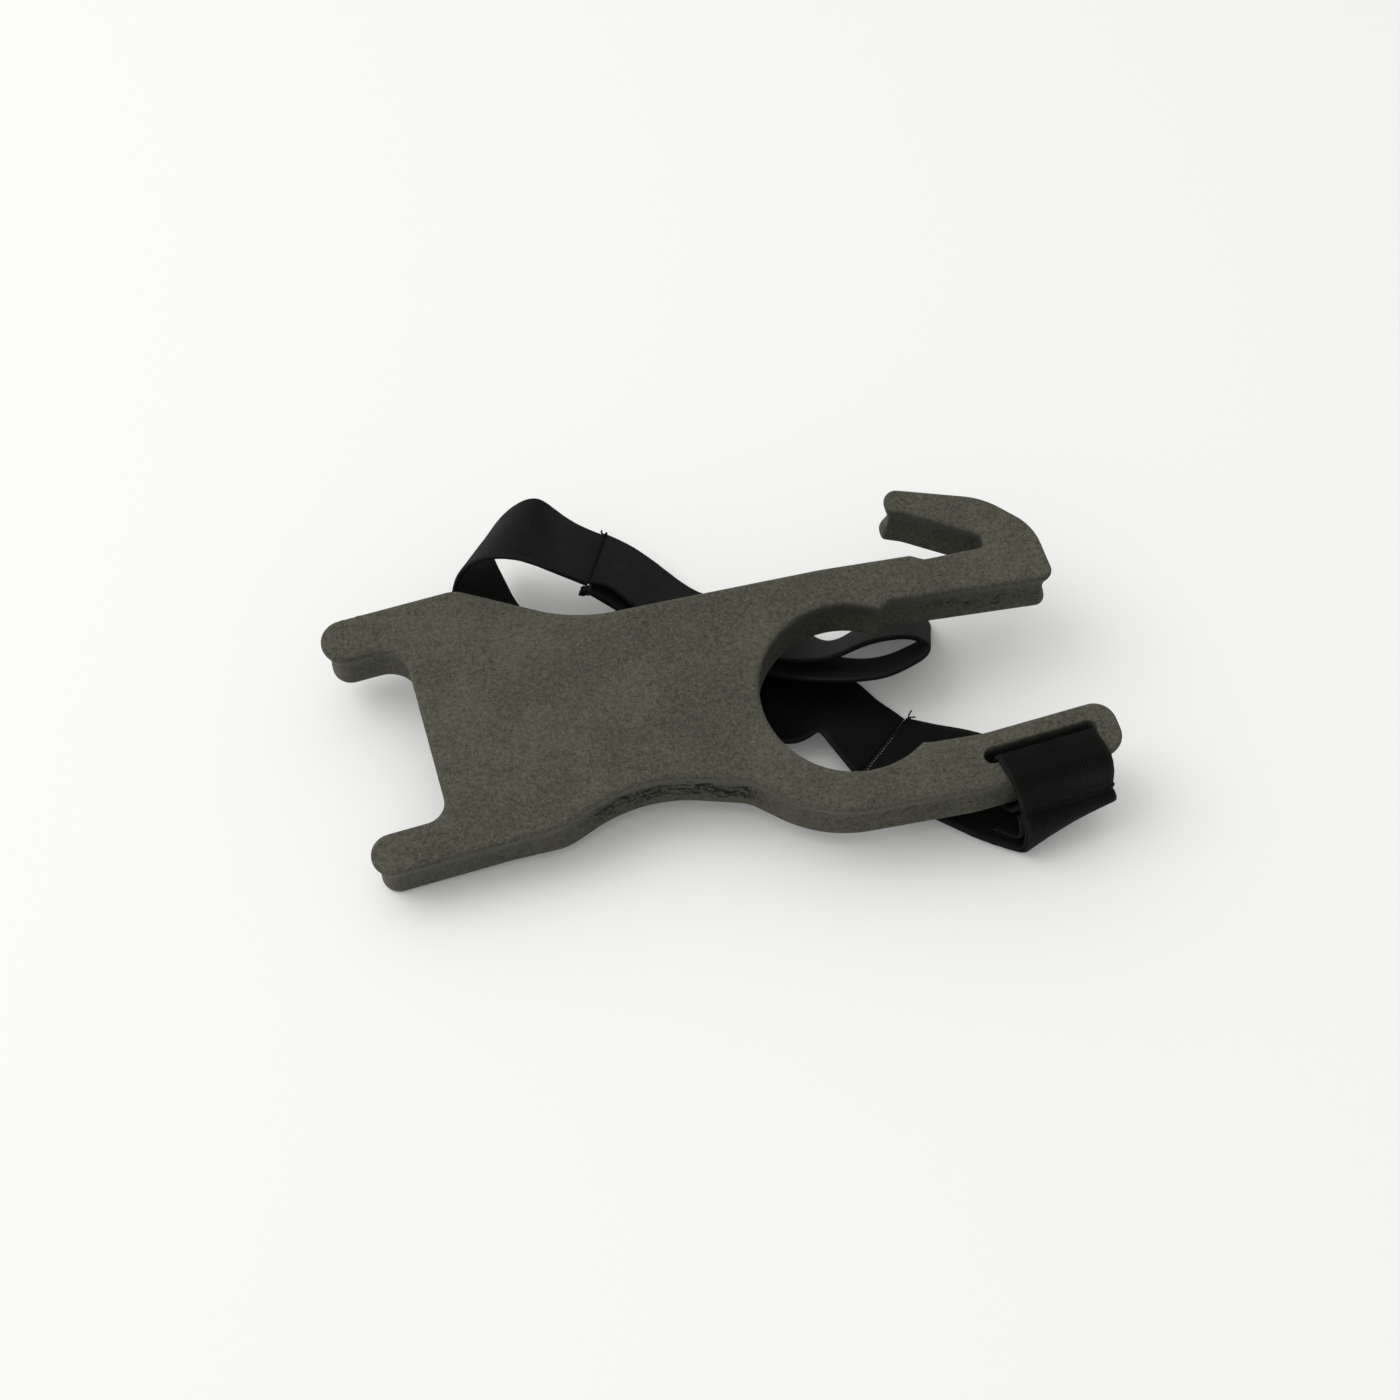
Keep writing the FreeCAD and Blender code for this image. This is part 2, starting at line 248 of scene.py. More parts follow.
def add_mesh(name, verts, faces, material, uvs=None, attributes=None, flat_caps=False):
    mesh = bpy.data.meshes.new(name)
    mesh.from_pydata([tuple(v) for v in verts], [], faces)
    shell = bmesh.new()
    shell.from_mesh(mesh)
    bmesh.ops.recalc_face_normals(shell, faces=shell.faces)
    shell.to_mesh(mesh)
    shell.free()
    mesh.polygons.foreach_set("use_smooth", [len(f) == 4 or not flat_caps for f in faces])
    if uvs is not None:
        layer = mesh.uv_layers.new(name="mm")
        index = np.empty(len(mesh.loops), dtype=np.int32)
        mesh.loops.foreach_get("vertex_index", index)
        layer.data.foreach_set("uv", np.asarray(uvs, dtype=np.float32)[index].ravel())
    for key, values in (attributes or {}).items():
        attribute = mesh.attributes.new(key, "FLOAT", "POINT")
        attribute.data.foreach_set("value", np.asarray(values, dtype=np.float32))
    mesh.materials.append(material)
    mesh.update()
    piece = bpy.data.objects.new(name, mesh)
    bpy.context.scene.collection.objects.link(piece)
    return piece


# ---------------------------------------------------------------- materials


def new_material(name):
    material = bpy.data.materials.new(name)
    material.use_nodes = True
    tree = material.node_tree
    shader = tree.nodes["Principled BSDF"]
    return material, tree, shader


def node(tree, kind, inputs=None, **settings):
    made = tree.nodes.new(kind)
    for key, value in settings.items():
        setattr(made, key, value)
    for key, value in (inputs or {}).items():
        if isinstance(value, bpy.types.NodeSocket):
            tree.links.new(value, made.inputs[key])
        else:
            made.inputs[key].default_value = value
    return made


def math_node(tree, operation, first, second=0.0):
    return node(tree, "ShaderNodeMath", {0: first, 1: second}, operation=operation).outputs[0]


def noise_texture(tree, where, scale, detail, roughness):
    inputs = {"Vector": where, "Scale": scale, "Detail": detail, "Roughness": roughness}
    return node(tree, "ShaderNodeTexNoise", inputs).outputs[0]


def mix_colour(tree, factor, first, second):
    made = node(tree, "ShaderNodeMix", data_type="RGBA")
    for slot_index, value in ((0, factor), (6, first), (7, second)):
        if isinstance(value, bpy.types.NodeSocket):
            tree.links.new(value, made.inputs[slot_index])
        else:
            made.inputs[slot_index].default_value = value
    return made.outputs[2]


def ramp(tree, value, low, high):
    made = node(tree, "ShaderNodeMapRange", {0: value, 1: low, 2: high}, clamp=True)
    return made.outputs[0]


def foam_material():
    material, tree, shader = new_material("foam")
    where = node(tree, "ShaderNodeTexCoord").outputs["Object"]
    skin = node(tree, "ShaderNodeUVMap", uv_map="mm").outputs[0]
    grain = noise_texture(tree, where, 2100.0, 2.0, 0.6)
    cells = noise_texture(tree, where, 900.0, 3.0, 0.65)
    cloud = noise_texture(tree, where, 45.0, 4.0, 0.6)
    fine = ramp(tree, grain, 0.25, 0.75)
    medium = ramp(tree, cells, 0.3, 0.7)
    broad = ramp(tree, cloud, 0.3, 0.7)
    dark = (0.0035, 0.0034, 0.002, 1.0)
    light = (0.117, 0.1135, 0.0862, 1.0)
    mixed = math_node(tree, "MULTIPLY", fine, 0.5)
    mixed = math_node(tree, "ADD", mixed, math_node(tree, "MULTIPLY", medium, 0.32))
    mixed = math_node(tree, "ADD", mixed, math_node(tree, "MULTIPLY", broad, 0.18))
    colour = mix_colour(tree, mixed, dark, light)
    torn = node(tree, "ShaderNodeAttribute", attribute_name="torn").outputs["Fac"]
    stretched = node(tree, "ShaderNodeMapping", {"Vector": skin, "Scale": (0.3, 0.85, 1.0)}).outputs[0]
    rips = noise_texture(tree, stretched, 1.0, 5.0, 0.7)
    pits = noise_texture(tree, skin, 1.3, 3.0, 0.6)
    rip = math_node(tree, "ADD", rips, math_node(tree, "MULTIPLY", torn, RIP_BIAS))
    rip = ramp(tree, rip, RIP_LIMIT, RIP_LIMIT + 0.03)
    pit = math_node(tree, "ADD", pits, math_node(tree, "MULTIPLY", torn, PIT_BIAS))
    pit = ramp(tree, pit, PIT_LIMIT, PIT_LIMIT + 0.05)
    hole = math_node(tree, "MAXIMUM", rip, pit)
    hole = math_node(tree, "MULTIPLY", hole, ramp(tree, torn, 0.02, 0.25))
    # Painted shade: rips and pits in the torn wall are coloured near-black for the shade inside them; the
    # same mask also sinks them in the bump below.
    colour = mix_colour(tree, hole, colour, (0.0012, 0.0012, 0.001, 1.0))
    # Painted shade: the slot's inner walls below 1 mm depth are darkened in colour for the shadow inside
    # the slot.
    painted_slot_shade = node(tree, "ShaderNodeAttribute", attribute_name="slot_shade_weight").outputs["Fac"]
    colour = mix_colour(tree, painted_slot_shade, colour, (0.006, 0.006, 0.005, 1.0))
    tree.links.new(colour, shader.inputs["Base Color"])
    height = math_node(tree, "MULTIPLY", fine, 0.35)
    height = math_node(tree, "ADD", height, math_node(tree, "MULTIPLY", medium, 0.65))
    height = math_node(tree, "SUBTRACT", height, math_node(tree, "MULTIPLY", hole, 2.5))
    bump = node(tree, "ShaderNodeBump", {"Height": height, "Strength": 0.55, "Distance": 0.00012})
    tree.links.new(bump.outputs[0], shader.inputs["Normal"])
    shader.inputs["Roughness"].default_value = 0.88
    shader.inputs["Specular IOR Level"].default_value = 0.2
    shader.inputs["Sheen Weight"].default_value = 0.04
    shader.inputs["Sheen Roughness"].default_value = 0.6
    return material


def elastic_material():
    material, tree, shader = new_material("elastic")
    skin = node(tree, "ShaderNodeUVMap", uv_map="mm").outputs[0]
    parts = node(tree, "ShaderNodeSeparateXYZ", {0: skin})
    across, along = parts.outputs[0], parts.outputs[1]
    turn = 2.0 * math.pi
    rib_phase = math_node(tree, "MULTIPLY", across, turn / RIB_PITCH)
    rib = math_node(tree, "MULTIPLY_ADD", math_node(tree, "COSINE", rib_phase), 0.5)
    tree.nodes[-1].inputs[2].default_value = 0.5
    half_rib = math_node(tree, "MULTIPLY", across, turn / (2.0 * RIB_PITCH))
    side = math_node(tree, "SIGN", math_node(tree, "SINE", half_rib))
    pick_phase = math_node(tree, "MULTIPLY", along, turn / PICK_PITCH)
    pick_phase = math_node(tree, "ADD", pick_phase, math_node(tree, "MULTIPLY", side, math.pi / 2.0))
    pick = math_node(tree, "MULTIPLY_ADD", math_node(tree, "COSINE", pick_phase), 0.5)
    tree.nodes[-1].inputs[2].default_value = 0.5
    fuzz = noise_texture(tree, skin, 3.2, 3.0, 0.7)
    cloud = noise_texture(tree, skin, 0.09, 3.0, 0.6)
    height = math_node(tree, "MULTIPLY", rib, 0.42)
    crossing = math_node(tree, "MULTIPLY", pick, rib)
    height = math_node(tree, "ADD", height, math_node(tree, "MULTIPLY", crossing, 0.7))
    height = math_node(tree, "ADD", height, math_node(tree, "MULTIPLY", fuzz, 0.45))
    # Partly painted light: the colour follows the weave relief, lighter on rib and pick crowns and darker
    # in the grooves as light falls on them, under a random cloud of tone.
    tone = math_node(tree, "MULTIPLY", ramp(tree, height, 0.1, 1.2), ramp(tree, cloud, 0.1, 0.65))
    colour = mix_colour(tree, tone, (0.0006, 0.0006, 0.0005, 1.0), (0.0078, 0.0077, 0.007, 1.0))
    # Painted highlight: a lighter line along both selvages of each face, broken up by the fuzz noise,
    # stands for light catching the edges.
    face_place = math_node(tree, "MODULO", across, UNDERSIDE_OFFSET)
    off_centre = math_node(tree, "ABSOLUTE", math_node(tree, "SUBTRACT", face_place, STRAP_WIDTH / 2.0))
    selvage_highlight = ramp(tree, off_centre, SELVAGE_HIGHLIGHT_START, SELVAGE_HIGHLIGHT_FULL)
    selvage_highlight = math_node(tree, "MULTIPLY", selvage_highlight, ramp(tree, fuzz, 0.3, 0.7))
    colour = mix_colour(tree, selvage_highlight, colour, (0.0135, 0.0133, 0.0122, 1.0))
    tree.links.new(colour, shader.inputs["Base Color"])
    bump = node(tree, "ShaderNodeBump", {"Height": height, "Strength": 0.7, "Distance": 0.00022})
    tree.links.new(bump.outputs[0], shader.inputs["Normal"])
    shader.inputs["Roughness"].default_value = 0.68
    shader.inputs["Specular IOR Level"].default_value = 0.07
    shader.inputs["Sheen Weight"].default_value = 0.012
    shader.inputs["Sheen Roughness"].default_value = 0.45
    shader.inputs["Sheen Tint"].default_value = (0.8, 0.8, 0.78, 1.0)
    return material


def thread_material(name, colour):
    material, tree, shader = new_material(name)
    where = node(tree, "ShaderNodeTexCoord").outputs["Object"]
    twist = noise_texture(tree, where, 3600.0, 2.0, 0.6)
    ply = ramp(tree, twist, 0.3, 0.7)
    shade = tuple(channel * 0.55 for channel in colour[:3]) + (1.0,)
    gleam = tuple(channel * 1.45 for channel in colour[:3]) + (1.0,)
    tree.links.new(mix_colour(tree, ply, shade, gleam), shader.inputs["Base Color"])
    bump = node(tree, "ShaderNodeBump", {"Height": ply, "Strength": 0.5, "Distance": 0.00005})
    tree.links.new(bump.outputs[0], shader.inputs["Normal"])
    shader.inputs["Roughness"].default_value = 0.6
    shader.inputs["Specular IOR Level"].default_value = 0.1
    return material


RIP_BIAS = 0.3
RIP_LIMIT = 0.81
PIT_BIAS = 0.2
PIT_LIMIT = 0.755
SELVAGE_HIGHLIGHT_START = 11.2
SELVAGE_HIGHLIGHT_FULL = 11.9
RIB_PITCH = 0.83
PICK_PITCH = 0.72
FOAM = foam_material()
ELASTIC = elastic_material()
THREAD_DARK = thread_material("thread_dark", (0.005, 0.005, 0.0047, 1.0))
# Painted sheen: the same dark thread made lighter in colour, for the shine along the middle seam.
THREAD_PAINTED_SHEEN = thread_material("thread_painted_sheen", (0.16, 0.16, 0.145, 1.0))

# --------------------------------------------------------------- foam plate


def corner_points(before, corner, after):
    """Points round the fillet arc at one outline corner."""
    here = np.array(corner[:2], dtype=float)
    back = np.array(before[:2], dtype=float) - here
    ahead = np.array(after[:2], dtype=float) - here
    back /= np.linalg.norm(back)
    ahead /= np.linalg.norm(ahead)
    radius = corner[2]
    half = math.acos(float(np.clip(back @ ahead, -1.0, 1.0))) / 2.0
    bisector = (back + ahead) / np.linalg.norm(back + ahead)
    centre = here + bisector * radius / math.sin(half)
    reach = radius / math.tan(half)
    start, stop = here + back * reach - centre, here + ahead * reach - centre
    first = math.atan2(start[1], start[0])
    swing = (math.atan2(stop[1], stop[0]) - first + math.pi) % (2.0 * math.pi) - math.pi
    count = max(4, int(abs(swing) * radius / 0.5))
    angles = [first + swing * step / count for step in range(count + 1)]
    return [centre + radius * np.array((math.cos(a), math.sin(a))) for a in angles]


def resample(points, step):
    """Evenly spaced points round a closed line, with their distances."""
    loop = np.vstack([points, points[:1]])
    lengths = np.r_[0.0, np.cumsum(np.linalg.norm(np.diff(loop, axis=0), axis=1))]
    count = int(lengths[-1] / step)
    marks = np.arange(count) * lengths[-1] / count
    even = np.c_[np.interp(marks, lengths, loop[:, 0]), np.interp(marks, lengths, loop[:, 1])]
    return even, marks


def plate_outline():
    hole = []
    for step in range(121):
        angle = math.radians(HOLE_END_UPPER + (HOLE_END_LOWER - HOLE_END_UPPER) * step / 120)
        hole.append(HOLE_RADIUS * np.array((math.cos(angle), math.sin(angle))))
    chain = [hole[-1]] + SLOTTED_ARM + FRONT_EDGE + BACK_EDGE + HOOK + [hole[0]]
    points = list(hole)
    for before, corner, after in zip(chain, chain[1:], chain[2:]):
        points.extend(corner_points(before, corner, after))
    return resample(np.array(points), OUTLINE_STEP)


def slot_outline():
    radius = (SLOT_BACK - SLOT_FRONT) / 2.0
    middle = (SLOT_BACK + SLOT_FRONT) / 2.0
    points = []
    for centre, start in ((SLOT_RIGHT - radius, -90.0), (SLOT_LEFT + radius, 90.0)):
        for step in range(13):
            angle = math.radians(start + 15.0 * step)
            points.append((centre + radius * math.cos(angle), middle + radius * math.sin(angle)))
    return resample(np.array(points), OUTLINE_STEP)


def smooth_loop(values, width):
    kernel = np.hanning(2 * width + 3)[1:-1]
    kernel /= kernel.sum()
    wrapped = np.concatenate([values[-width:], values, values[:width]])
    if values.ndim == 1:
        return np.convolve(wrapped, kernel, mode="valid")
    columns = [np.convolve(column, kernel, mode="valid") for column in wrapped.T]
    return np.stack(columns, axis=1)


def loop_normals(points, width):
    """Normals to the left of the walk round a closed line."""
    tangent = np.roll(points, -1, axis=0) - np.roll(points, 1, axis=0)
    tangent /= np.linalg.norm(tangent, axis=1)[:, None]
    normal = smooth_loop(np.c_[-tangent[:, 1], tangent[:, 0]], width)
    return normal / np.linalg.norm(normal, axis=1)[:, None]


def torn_weight(x, y):
    """Where the die tore the cut wall instead of slicing it."""
    weight = 0.0
    for left, right, low, high, strength in TORN_STRETCHES:
        if left < x < right and low < y < high:
            ease = min(1.0, (x - left) / 6.0, (right - x) / 6.0)
            weight = max(weight, strength * ease)
    return weight


TORN_STRETCHES = [
    (-72.0, -24.0, -24.0, -5.0, 1.0),
    (-26.0, 30.0, -40.0, -23.5, 0.62),
    (20.0, 58.0, 10.0, 20.5, 0.72),
    (-100.0, -72.0, -18.0, -10.0, 0.4),
]


TORN_DEPTH = 9.8
TORN_SPREAD = 4.4
FLARE_START = -88.0
FLARE_END = -72.0
FLARE_REACH = 1.0
NIB_STRETCH = (-118.0, -106.0, 45.0)
NIB_REACH = 0.45
BELLY_PEAK = 56.0
HOLLOW_DRIFT = 0.35
RIPPLE = 0.1
TEAR_REACH = 1.7
SLOT_UV_START = 900.0
# Strength of the painted shade on the slot's inner walls
SLOT_SHADE = 0.85


def foam_plate():
    outline, marks = plate_outline()
    slot, slot_marks = slot_outline()
    ahead = np.roll(outline, -1, axis=0)
    area = np.sum(outline[:, 0] * ahead[:, 1] - ahead[:, 0] * outline[:, 1])
    inward = loop_normals(outline, 4) * (1.0 if area > 0 else -1.0)
    outward = -loop_normals(slot, 1)
    verts, uvs, torn, shade = [], [], [], []
    for inset, depth in WALL_PROFILE:
        belly = max(0.0, -depth * (PLATE_THICKNESS + depth)) / BELLY_PEAK
        for (x, y), (nx, ny), mark in zip(outline, inward, marks):
            drift = noise.noise(Vector((x * 0.05, y * 0.05, 3.1)))
            hollow = inset * (1.0 + HOLLOW_DRIFT * belly * drift) if depth < -0.5 else inset
            share = min(1.0, max(0.0, (x - FLARE_START) / (FLARE_END - FLARE_START)))
            low = max(0.0, -depth - PLATE_THICKNESS / 2.0) / (PLATE_THICKNESS / 2.0)
            hollow -= FLARE_REACH * share * low**1.5
            ripple = RIPPLE * belly * noise.noise(Vector((mark * 0.25, depth * 0.4, 0.0)))
            nib = 0.0
            if NIB_STRETCH[0] < x < NIB_STRETCH[1] and y > NIB_STRETCH[2] and depth > -3.0:
                nib = NIB_REACH * max(0.0, noise.noise(Vector((mark * 1.3, 4.0, depth * 0.3))))
            middle = min(1.0, 1.8 * max(0.0, 1.0 - abs(depth + TORN_DEPTH) / TORN_SPREAD))
            weight = torn_weight(x, y) * middle
            tear = noise.fractal(Vector((mark * 0.42, depth * 1.15, 7.7)), 0.8, 2.0, 3)
            pull = weight * max(0.0, tear - 0.1) * TEAR_REACH
            reach = hollow + ripple + pull - nib
            verts.append((x + nx * reach, y + ny * reach, depth))
            uvs.append((mark, depth))
            torn.append(weight)
            shade.append(0.0)
    count, rings = len(outline), len(WALL_PROFILE)
    faces = []
    for ring in range(rings - 1):
        for i in range(count):
            j = (i + 1) % count
            a, b = ring * count + i, ring * count + j
            faces.append((a, a + count, b + count, b))
    slot_base, slot_count, slot_rings = len(verts), len(slot), len(SLOT_PROFILE)
    for spread, depth in SLOT_PROFILE:
        for (x, y), (nx, ny), mark in zip(slot, outward, slot_marks):
            verts.append((x + nx * spread, y + ny * spread, depth))
            uvs.append((mark + SLOT_UV_START, depth))
            torn.append(0.0)
            # Painted shade weight for slot walls deeper than 1 mm
            shade.append(SLOT_SHADE if depth < -1.0 else 0.0)
    for ring in range(slot_rings - 1):
        for i in range(slot_count):
            j = (i + 1) % slot_count
            a, b = slot_base + ring * slot_count + i, slot_base + ring * slot_count + j
            faces.append((a, a + slot_count, b + slot_count, b))
    cap = list(range(count)) + list(range(slot_base, slot_base + slot_count))
    flat = [Vector(verts[i][:2]) for i in cap]
    edges = [(i, (i + 1) % count) for i in range(count)]
    edges += [(count + i, count + (i + 1) % slot_count) for i in range(slot_count)]
    triangles = delaunay_2d_cdt(flat, edges, [], 1, 1e-6)[2]
    low_cap = [(rings - 1) * count + i for i in range(count)]
    low_cap += [slot_base + (slot_rings - 1) * slot_count + i for i in range(slot_count)]
    in_slot = set(range(count, count + slot_count))
    for triangle in triangles:
        if set(triangle) <= in_slot:
            continue
        faces.append(tuple(cap[i] for i in triangle))
        faces.append(tuple(low_cap[i] for i in reversed(triangle)))
    placed = [from_plate(v) for v in verts]
    attributes = {"torn": torn, "slot_shade_weight": shade}
    return add_mesh("foam_plate_skin", placed, faces, FOAM, uvs, attributes, flat_caps=True)


# ------------------------------------------------------------------ webbing


def spline_values(knots, values, samples):
    """Natural cubic spline through the values."""
    knots, values = np.asarray(knots), np.asarray(values)
    gaps = np.diff(knots)
    size = len(knots)
    matrix, right = np.eye(size), np.zeros_like(values)
    for i in range(1, size - 1):
        matrix[i, i - 1:i + 2] = (gaps[i - 1], 2.0 * (gaps[i - 1] + gaps[i]), gaps[i])
        ahead = (values[i + 1] - values[i]) / gaps[i]
        behind = (values[i] - values[i - 1]) / gaps[i - 1]
        right[i] = 6.0 * (ahead - behind)
    bend = np.linalg.solve(matrix, right)
    spans = np.clip(np.searchsorted(knots, samples, side="right") - 1, 0, size - 2)
    gap = gaps[spans][:, None]
    up = (samples - knots[spans])[:, None] / gap
    down = 1.0 - up
    line = down * values[spans] + up * values[spans + 1]
    curve = (down**3 - down) * bend[spans] + (up**3 - up) * bend[spans + 1]
    return line + gap**2 / 6.0 * curve


def strap_path(stations, place, step):
    """Smooth near and far selvages, the face normal and the run length."""
    near = np.array([place(s[0]) for s in stations]) / MM
    far = np.array([place(s[1]) for s in stations]) / MM
    middle = (near + far) / 2.0
    knots = np.r_[0.0, np.cumsum(np.linalg.norm(np.diff(middle, axis=0), axis=1))]
    samples = np.linspace(0.0, knots[-1], max(8, int(knots[-1] / step)))
    near, far = spline_values(knots, near, samples), spline_values(knots, far, samples)
    middle = (near + far) / 2.0
    across = far - near
    across /= np.linalg.norm(across, axis=1)[:, None]
    along = np.gradient(middle, axis=0)
    along /= np.linalg.norm(along, axis=1)[:, None]
    normal = np.cross(along, across)
    normal /= np.linalg.norm(normal, axis=1)[:, None]
    run = np.r_[0.0, np.cumsum(np.linalg.norm(np.diff(middle, axis=0), axis=1))]
    return middle, across, normal, run


def band_section(thickness):
    """Closed cross-section: flat faces, round selvages."""
    half, radius = STRAP_WIDTH / 2.0, thickness / 2.0
    flat = np.linspace(-(half - radius), half - radius, 26)
    turns = (0.9, 0.3, -0.3, -0.9)
    points = [(x, radius) for x in flat]
    points += [(half - radius + radius * math.cos(a), radius * math.sin(a)) for a in turns]
    points += [(x, -radius) for x in flat[::-1]]
    points += [(-half + radius - radius * math.cos(a), radius * math.sin(a)) for a in turns[::-1]]
    return points


def webbing(
    name, stations, place, step=0.8, shift=0.0, start=0.0, wave=0.12,
    thickness=STRAP_THICKNESS, seed=0.0,
):
    """One ply of webbing: its piece and its length along the middle."""
    middle, across, normal, run = strap_path(stations, place, step)
    section = band_section(thickness)
    verts, uvs = [], []
    for centre, side, up, mark in zip(middle, across, normal, run):
        for x, z in section:
            swell = wave * noise.noise(Vector((x * 0.09, mark * 0.05, seed)))
            fray = 0.08 * noise.noise(Vector((mark * 0.5, seed, 2.0 if x > 0 else 5.0)))
            edge = fray if abs(x) > STRAP_WIDTH / 2.0 - 1.0 else 0.0
            point = centre + side * (x + edge) + up * (z + shift + swell)
            verts.append(point * MM)
            face_start = UNDERSIDE_OFFSET if z < 0 else 0.0
            uvs.append((x + STRAP_WIDTH / 2.0 + face_start, mark + start))
    count, rings = len(section), len(run)
    faces = []
    for ring in range(rings - 1):
        for i in range(count):
            j = (i + 1) % count
            a, b = ring * count + i, ring * count + j
            faces.append((a, b, b + count, a + count))
    faces.append(tuple(reversed(range(count))))
    faces.append(tuple(range((rings - 1) * count, rings * count)))
    piece = add_mesh(name, verts, faces, ELASTIC, uvs, flat_caps=True)
    return piece, run[-1] * MM


# ------------------------------------------------------------------- thread


def capsule(centre, direction, length, radius, sides=8, rings=5):
    """One stitch: a stretched bead."""
    axis = direction / np.linalg.norm(direction)
    helper = np.array((0.0, 0.0, 1.0)) if abs(axis[2]) < 0.9 else np.array((1.0, 0.0, 0.0))
    first = np.cross(axis, helper)
    first /= np.linalg.norm(first)
    second = np.cross(axis, first)
    verts, faces = [centre - axis * length / 2.0], []
    for ring in range(1, rings + 1):
        share = ring / (rings + 1)
        girth = radius * math.sin(math.pi * share) ** 0.6
        base = centre + axis * length * (share - 0.5)
        for side in range(sides):
            angle = 2.0 * math.pi * side / sides
            verts.append(base + girth * (math.cos(angle) * first + math.sin(angle) * second))
    verts.append(centre + axis * length / 2.0)
    for side in range(sides):
        after = (side + 1) % sides
        faces.append((0, 1 + after, 1 + side))
        last = 1 + (rings - 1) * sides
        faces.append((last + side, last + after, len(verts) - 1))
        for ring in range(rings - 1):
            a, b = 1 + ring * sides + side, 1 + ring * sides + after
            faces.append((a, b, b + sides, a + sides))
    return verts, faces


def tube(points, radius, sides=7):
    """Thread along a smooth open line."""
    points = np.array(points, dtype=float)
    knots = np.r_[0.0, np.cumsum(np.linalg.norm(np.diff(points, axis=0), axis=1))]
    line = spline_values(knots, points, np.linspace(0.0, knots[-1], 8 * len(points)))
    along = np.gradient(line, axis=0)
    verts, faces = [], []
    helper = np.array((0.31, 0.2, 0.93))
    for centre, tangent in zip(line, along):
        first = np.cross(tangent, helper)
        first /= np.linalg.norm(first)
        second = np.cross(tangent, first)
        second /= np.linalg.norm(second)
        for side in range(sides):
            angle = 2.0 * math.pi * side / sides
            verts.append(centre + radius * (math.cos(angle) * first + math.sin(angle) * second))
    for ring in range(len(line) - 1):
        for side in range(sides):
            after = (side + 1) % sides
            a, b = ring * sides + side, ring * sides + after
            faces.append((a, b, b + sides, a + sides))
    faces.append(tuple(reversed(range(sides))))
    faces.append(tuple(range((len(line) - 1) * sides, len(line) * sides)))
    return verts, faces


def join_lists(pieces):
    verts, faces = [], []
    for some_verts, some_faces in pieces:
        base = len(verts)
        verts.extend(some_verts)
        faces.extend(tuple(base + i for i in face) for face in some_faces)
    return verts, faces


def stitch_row(near, far, up, rise, pitch=1.05, radius=0.15):
    """Stitches across the webbing, in millimetres."""
    near, far, up = (np.array(v, dtype=float) for v in (near, far, up))
    across = far - near
    width = np.linalg.norm(across)
    across /= width
    up = up - across * (up @ across)
    up /= np.linalg.norm(up)
    forward = np.cross(up, across)
    made = []
    count = int((width - 1.2) / pitch)
    for index in range(count):
        spot = near + across * (0.6 + pitch * (index + 0.5))
        spot = spot + up * (rise + random.uniform(-0.03, 0.05))
        spot = spot + forward * random.uniform(-0.07, 0.07)
        lean = across + forward * random.uniform(-0.2, 0.2)
        made.append(capsule(spot, lean, 0.66 * pitch, radius))
    return made


def knot(centre, size, tails, radius=0.14):
    """A small tangle of thread with loose tails."""
    centre = np.array(centre, dtype=float)
    coil = []
    for step in range(9):
        coil.append(centre + size * np.array([random.uniform(-1.0, 1.0) for _ in range(3)]))
    made = [tube(coil, radius * 1.2)]
    for tail in tails:
        made.append(tube([centre + np.array(offset) for offset in tail], radius))
    return made


def to_row(point, place):
    return np.array(place(point)) / MM


def thread_piece(name, parts, material):
    verts, faces = join_lists(parts)
    return add_mesh(name, [np.array(v) * MM for v in verts], faces, material)


# ----------------------------------------------------------------- assembly

plate = foam_plate()
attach(plate, "plate")
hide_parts("foam_plate")


def lay_strap(name, stations, place, body, cad_node, held, rests_on, **options):
    piece, length = webbing(name, stations, place, **options)
    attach(piece, body)
    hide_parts(cad_node)


lay_strap(
    "web_anchor_loop", ANCHOR_STATIONS, from_plate, "plate", "strap_anchor_loop", "folded", ["foam_plate"],
    step=0.4, wave=0.05, seed=1.0,
)
lay_strap(
    "web_doubled_run_outer", DOUBLED_STATIONS, from_floor, "strap", "strap_doubled_run", "laid", [],
    step=0.6, shift=PLY_OFFSET, seed=2.0,
)
lay_strap(
    "web_doubled_run_inner", DOUBLED_STATIONS, from_floor, "strap", "strap_doubled_run", "laid", [],
    step=0.6, shift=-PLY_OFFSET, start=60.0, seed=3.0,
)
lay_strap(
    "web_single_run", SINGLE_STATIONS, from_floor, "strap", "strap_single_run", "laid", [], seed=4.0,
)
lay_strap(
    "web_hook_loop", HOOK_LOOP_STATIONS, from_floor, "strap", "strap_hook_loop", "folded", [], seed=5.0,
)

END_STATIONS = [
    ((30.7, -37.7, 13.6), (53.5, -36.0, 12.4)),
    ((31.0, -39.0, 11.4), (54.2, -36.4, 11.4)),
    ((31.1, -39.8, 8.6), (54.3, -35.9, 10.6)),
    ((31.0, -39.4, 6.2), (53.6, -34.0, 10.2)),
    ((29.6, -37.6, 4.9), (51.4, -30.6, 10.2)),
    ((26.8, -34.8, 4.8), (48.0, -27.2, 10.4)),
]
lay_strap(
    "web_sewn_end", END_STATIONS, from_floor, "strap", "strap_doubled_run", "folded", [],
    step=0.6, wave=0.05, seed=6.0,
)

# Short fold of the two sewn plies across the anchor seam
FOLD_THICKNESS = 2.45
FOLD_OVERRUN = 2.2
seam_ends = [to_row(point, from_plate) for point in SEAM_LINE]


